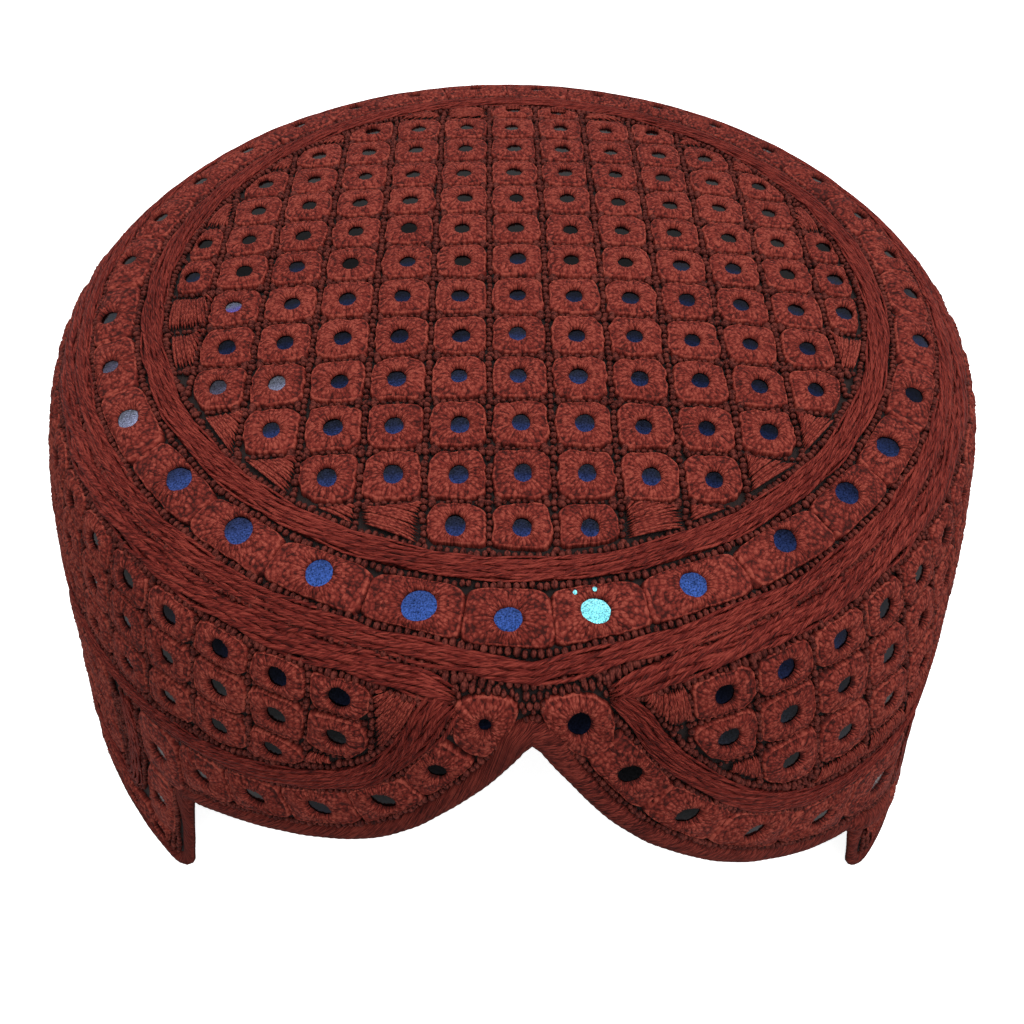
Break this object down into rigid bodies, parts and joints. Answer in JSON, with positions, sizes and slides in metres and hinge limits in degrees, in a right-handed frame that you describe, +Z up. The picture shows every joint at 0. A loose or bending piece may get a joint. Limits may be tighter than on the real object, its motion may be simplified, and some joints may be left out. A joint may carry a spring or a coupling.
{
  "type": "sindhi cap",
  "caption": "Round cap with a mirror-embroidered flat crown and a flared hollow side, cut in front into scallops that meet at a cusp.",
  "frame": {"origin": "middle of the cap's bounding box, on the surface that the hem rests on", "axes": "+Z up through the crown, -Y towards the front cusp between the two front scallops, +X to the cap's right as seen from the front"},
  "size_m": [0.193, 0.189, 0.0944],
  "materials": {
    "mirror_embroidery": "matte rust thread with small dark mirrors",
    "satin_thread": "soft satin sheen",
    "binding_cord": "matte",
    "ground_cloth": "matte"
  },
  "bodies": {
    "root": {"crown_panel": "ground_cloth", "crown_mirror_field": "mirror_embroidery", "crown_inner_band": "satin_thread", "crown_mirror_ring": "mirror_embroidery", "crown_edge_band": "satin_thread", "side_panel": "ground_cloth", "side_upper_band": "satin_thread", "side_lower_band": "satin_thread", "side_mirror_field": "mirror_embroidery", "front_edge_mirrors_right": "mirror_embroidery", "front_edge_mirrors_left": "mirror_embroidery", "back_band": "satin_thread", "back_edge_mirrors": "mirror_embroidery", "back_mirror_field": "mirror_embroidery", "hem_binding": "binding_cord"}
  },
  "joints": []
}
